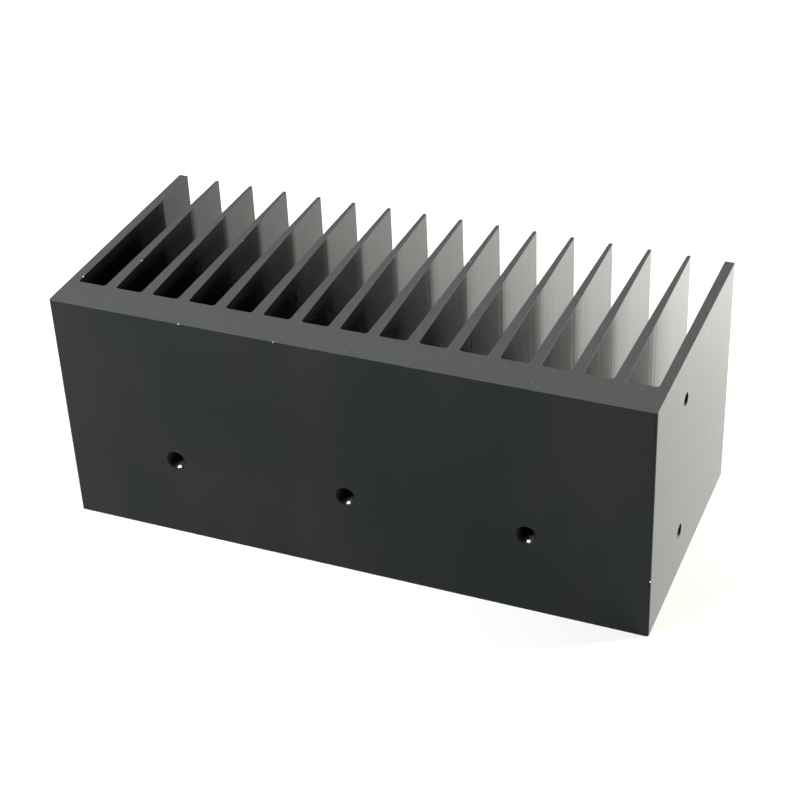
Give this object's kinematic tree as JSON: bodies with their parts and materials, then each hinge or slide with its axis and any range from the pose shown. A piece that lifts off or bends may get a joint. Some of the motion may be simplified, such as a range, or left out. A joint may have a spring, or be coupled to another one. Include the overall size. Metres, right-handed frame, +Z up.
{
  "type": "plate fin heat sink",
  "caption": "Black extruded plate-fin heat sink with a thick flat base, tapered fins between straight end fins, and tapped mounting holes.",
  "frame": {"origin": "centre of the footprint on the lower cut end", "axes": "+X across the fins, along the base plate; +Y from the base face towards the fin tips; +Z up along the extrusion, from the lower cut end to the upper one"},
  "size_m": [0.12, 0.0542, 0.05],
  "materials": {
    "black_anodised_aluminium": "black anodised, satin, with fine die lines along the extrusion and matt cut ends"
  },
  "bodies": {
    "root": {"heat_sink": "black_anodised_aluminium"}
  },
  "joints": []
}
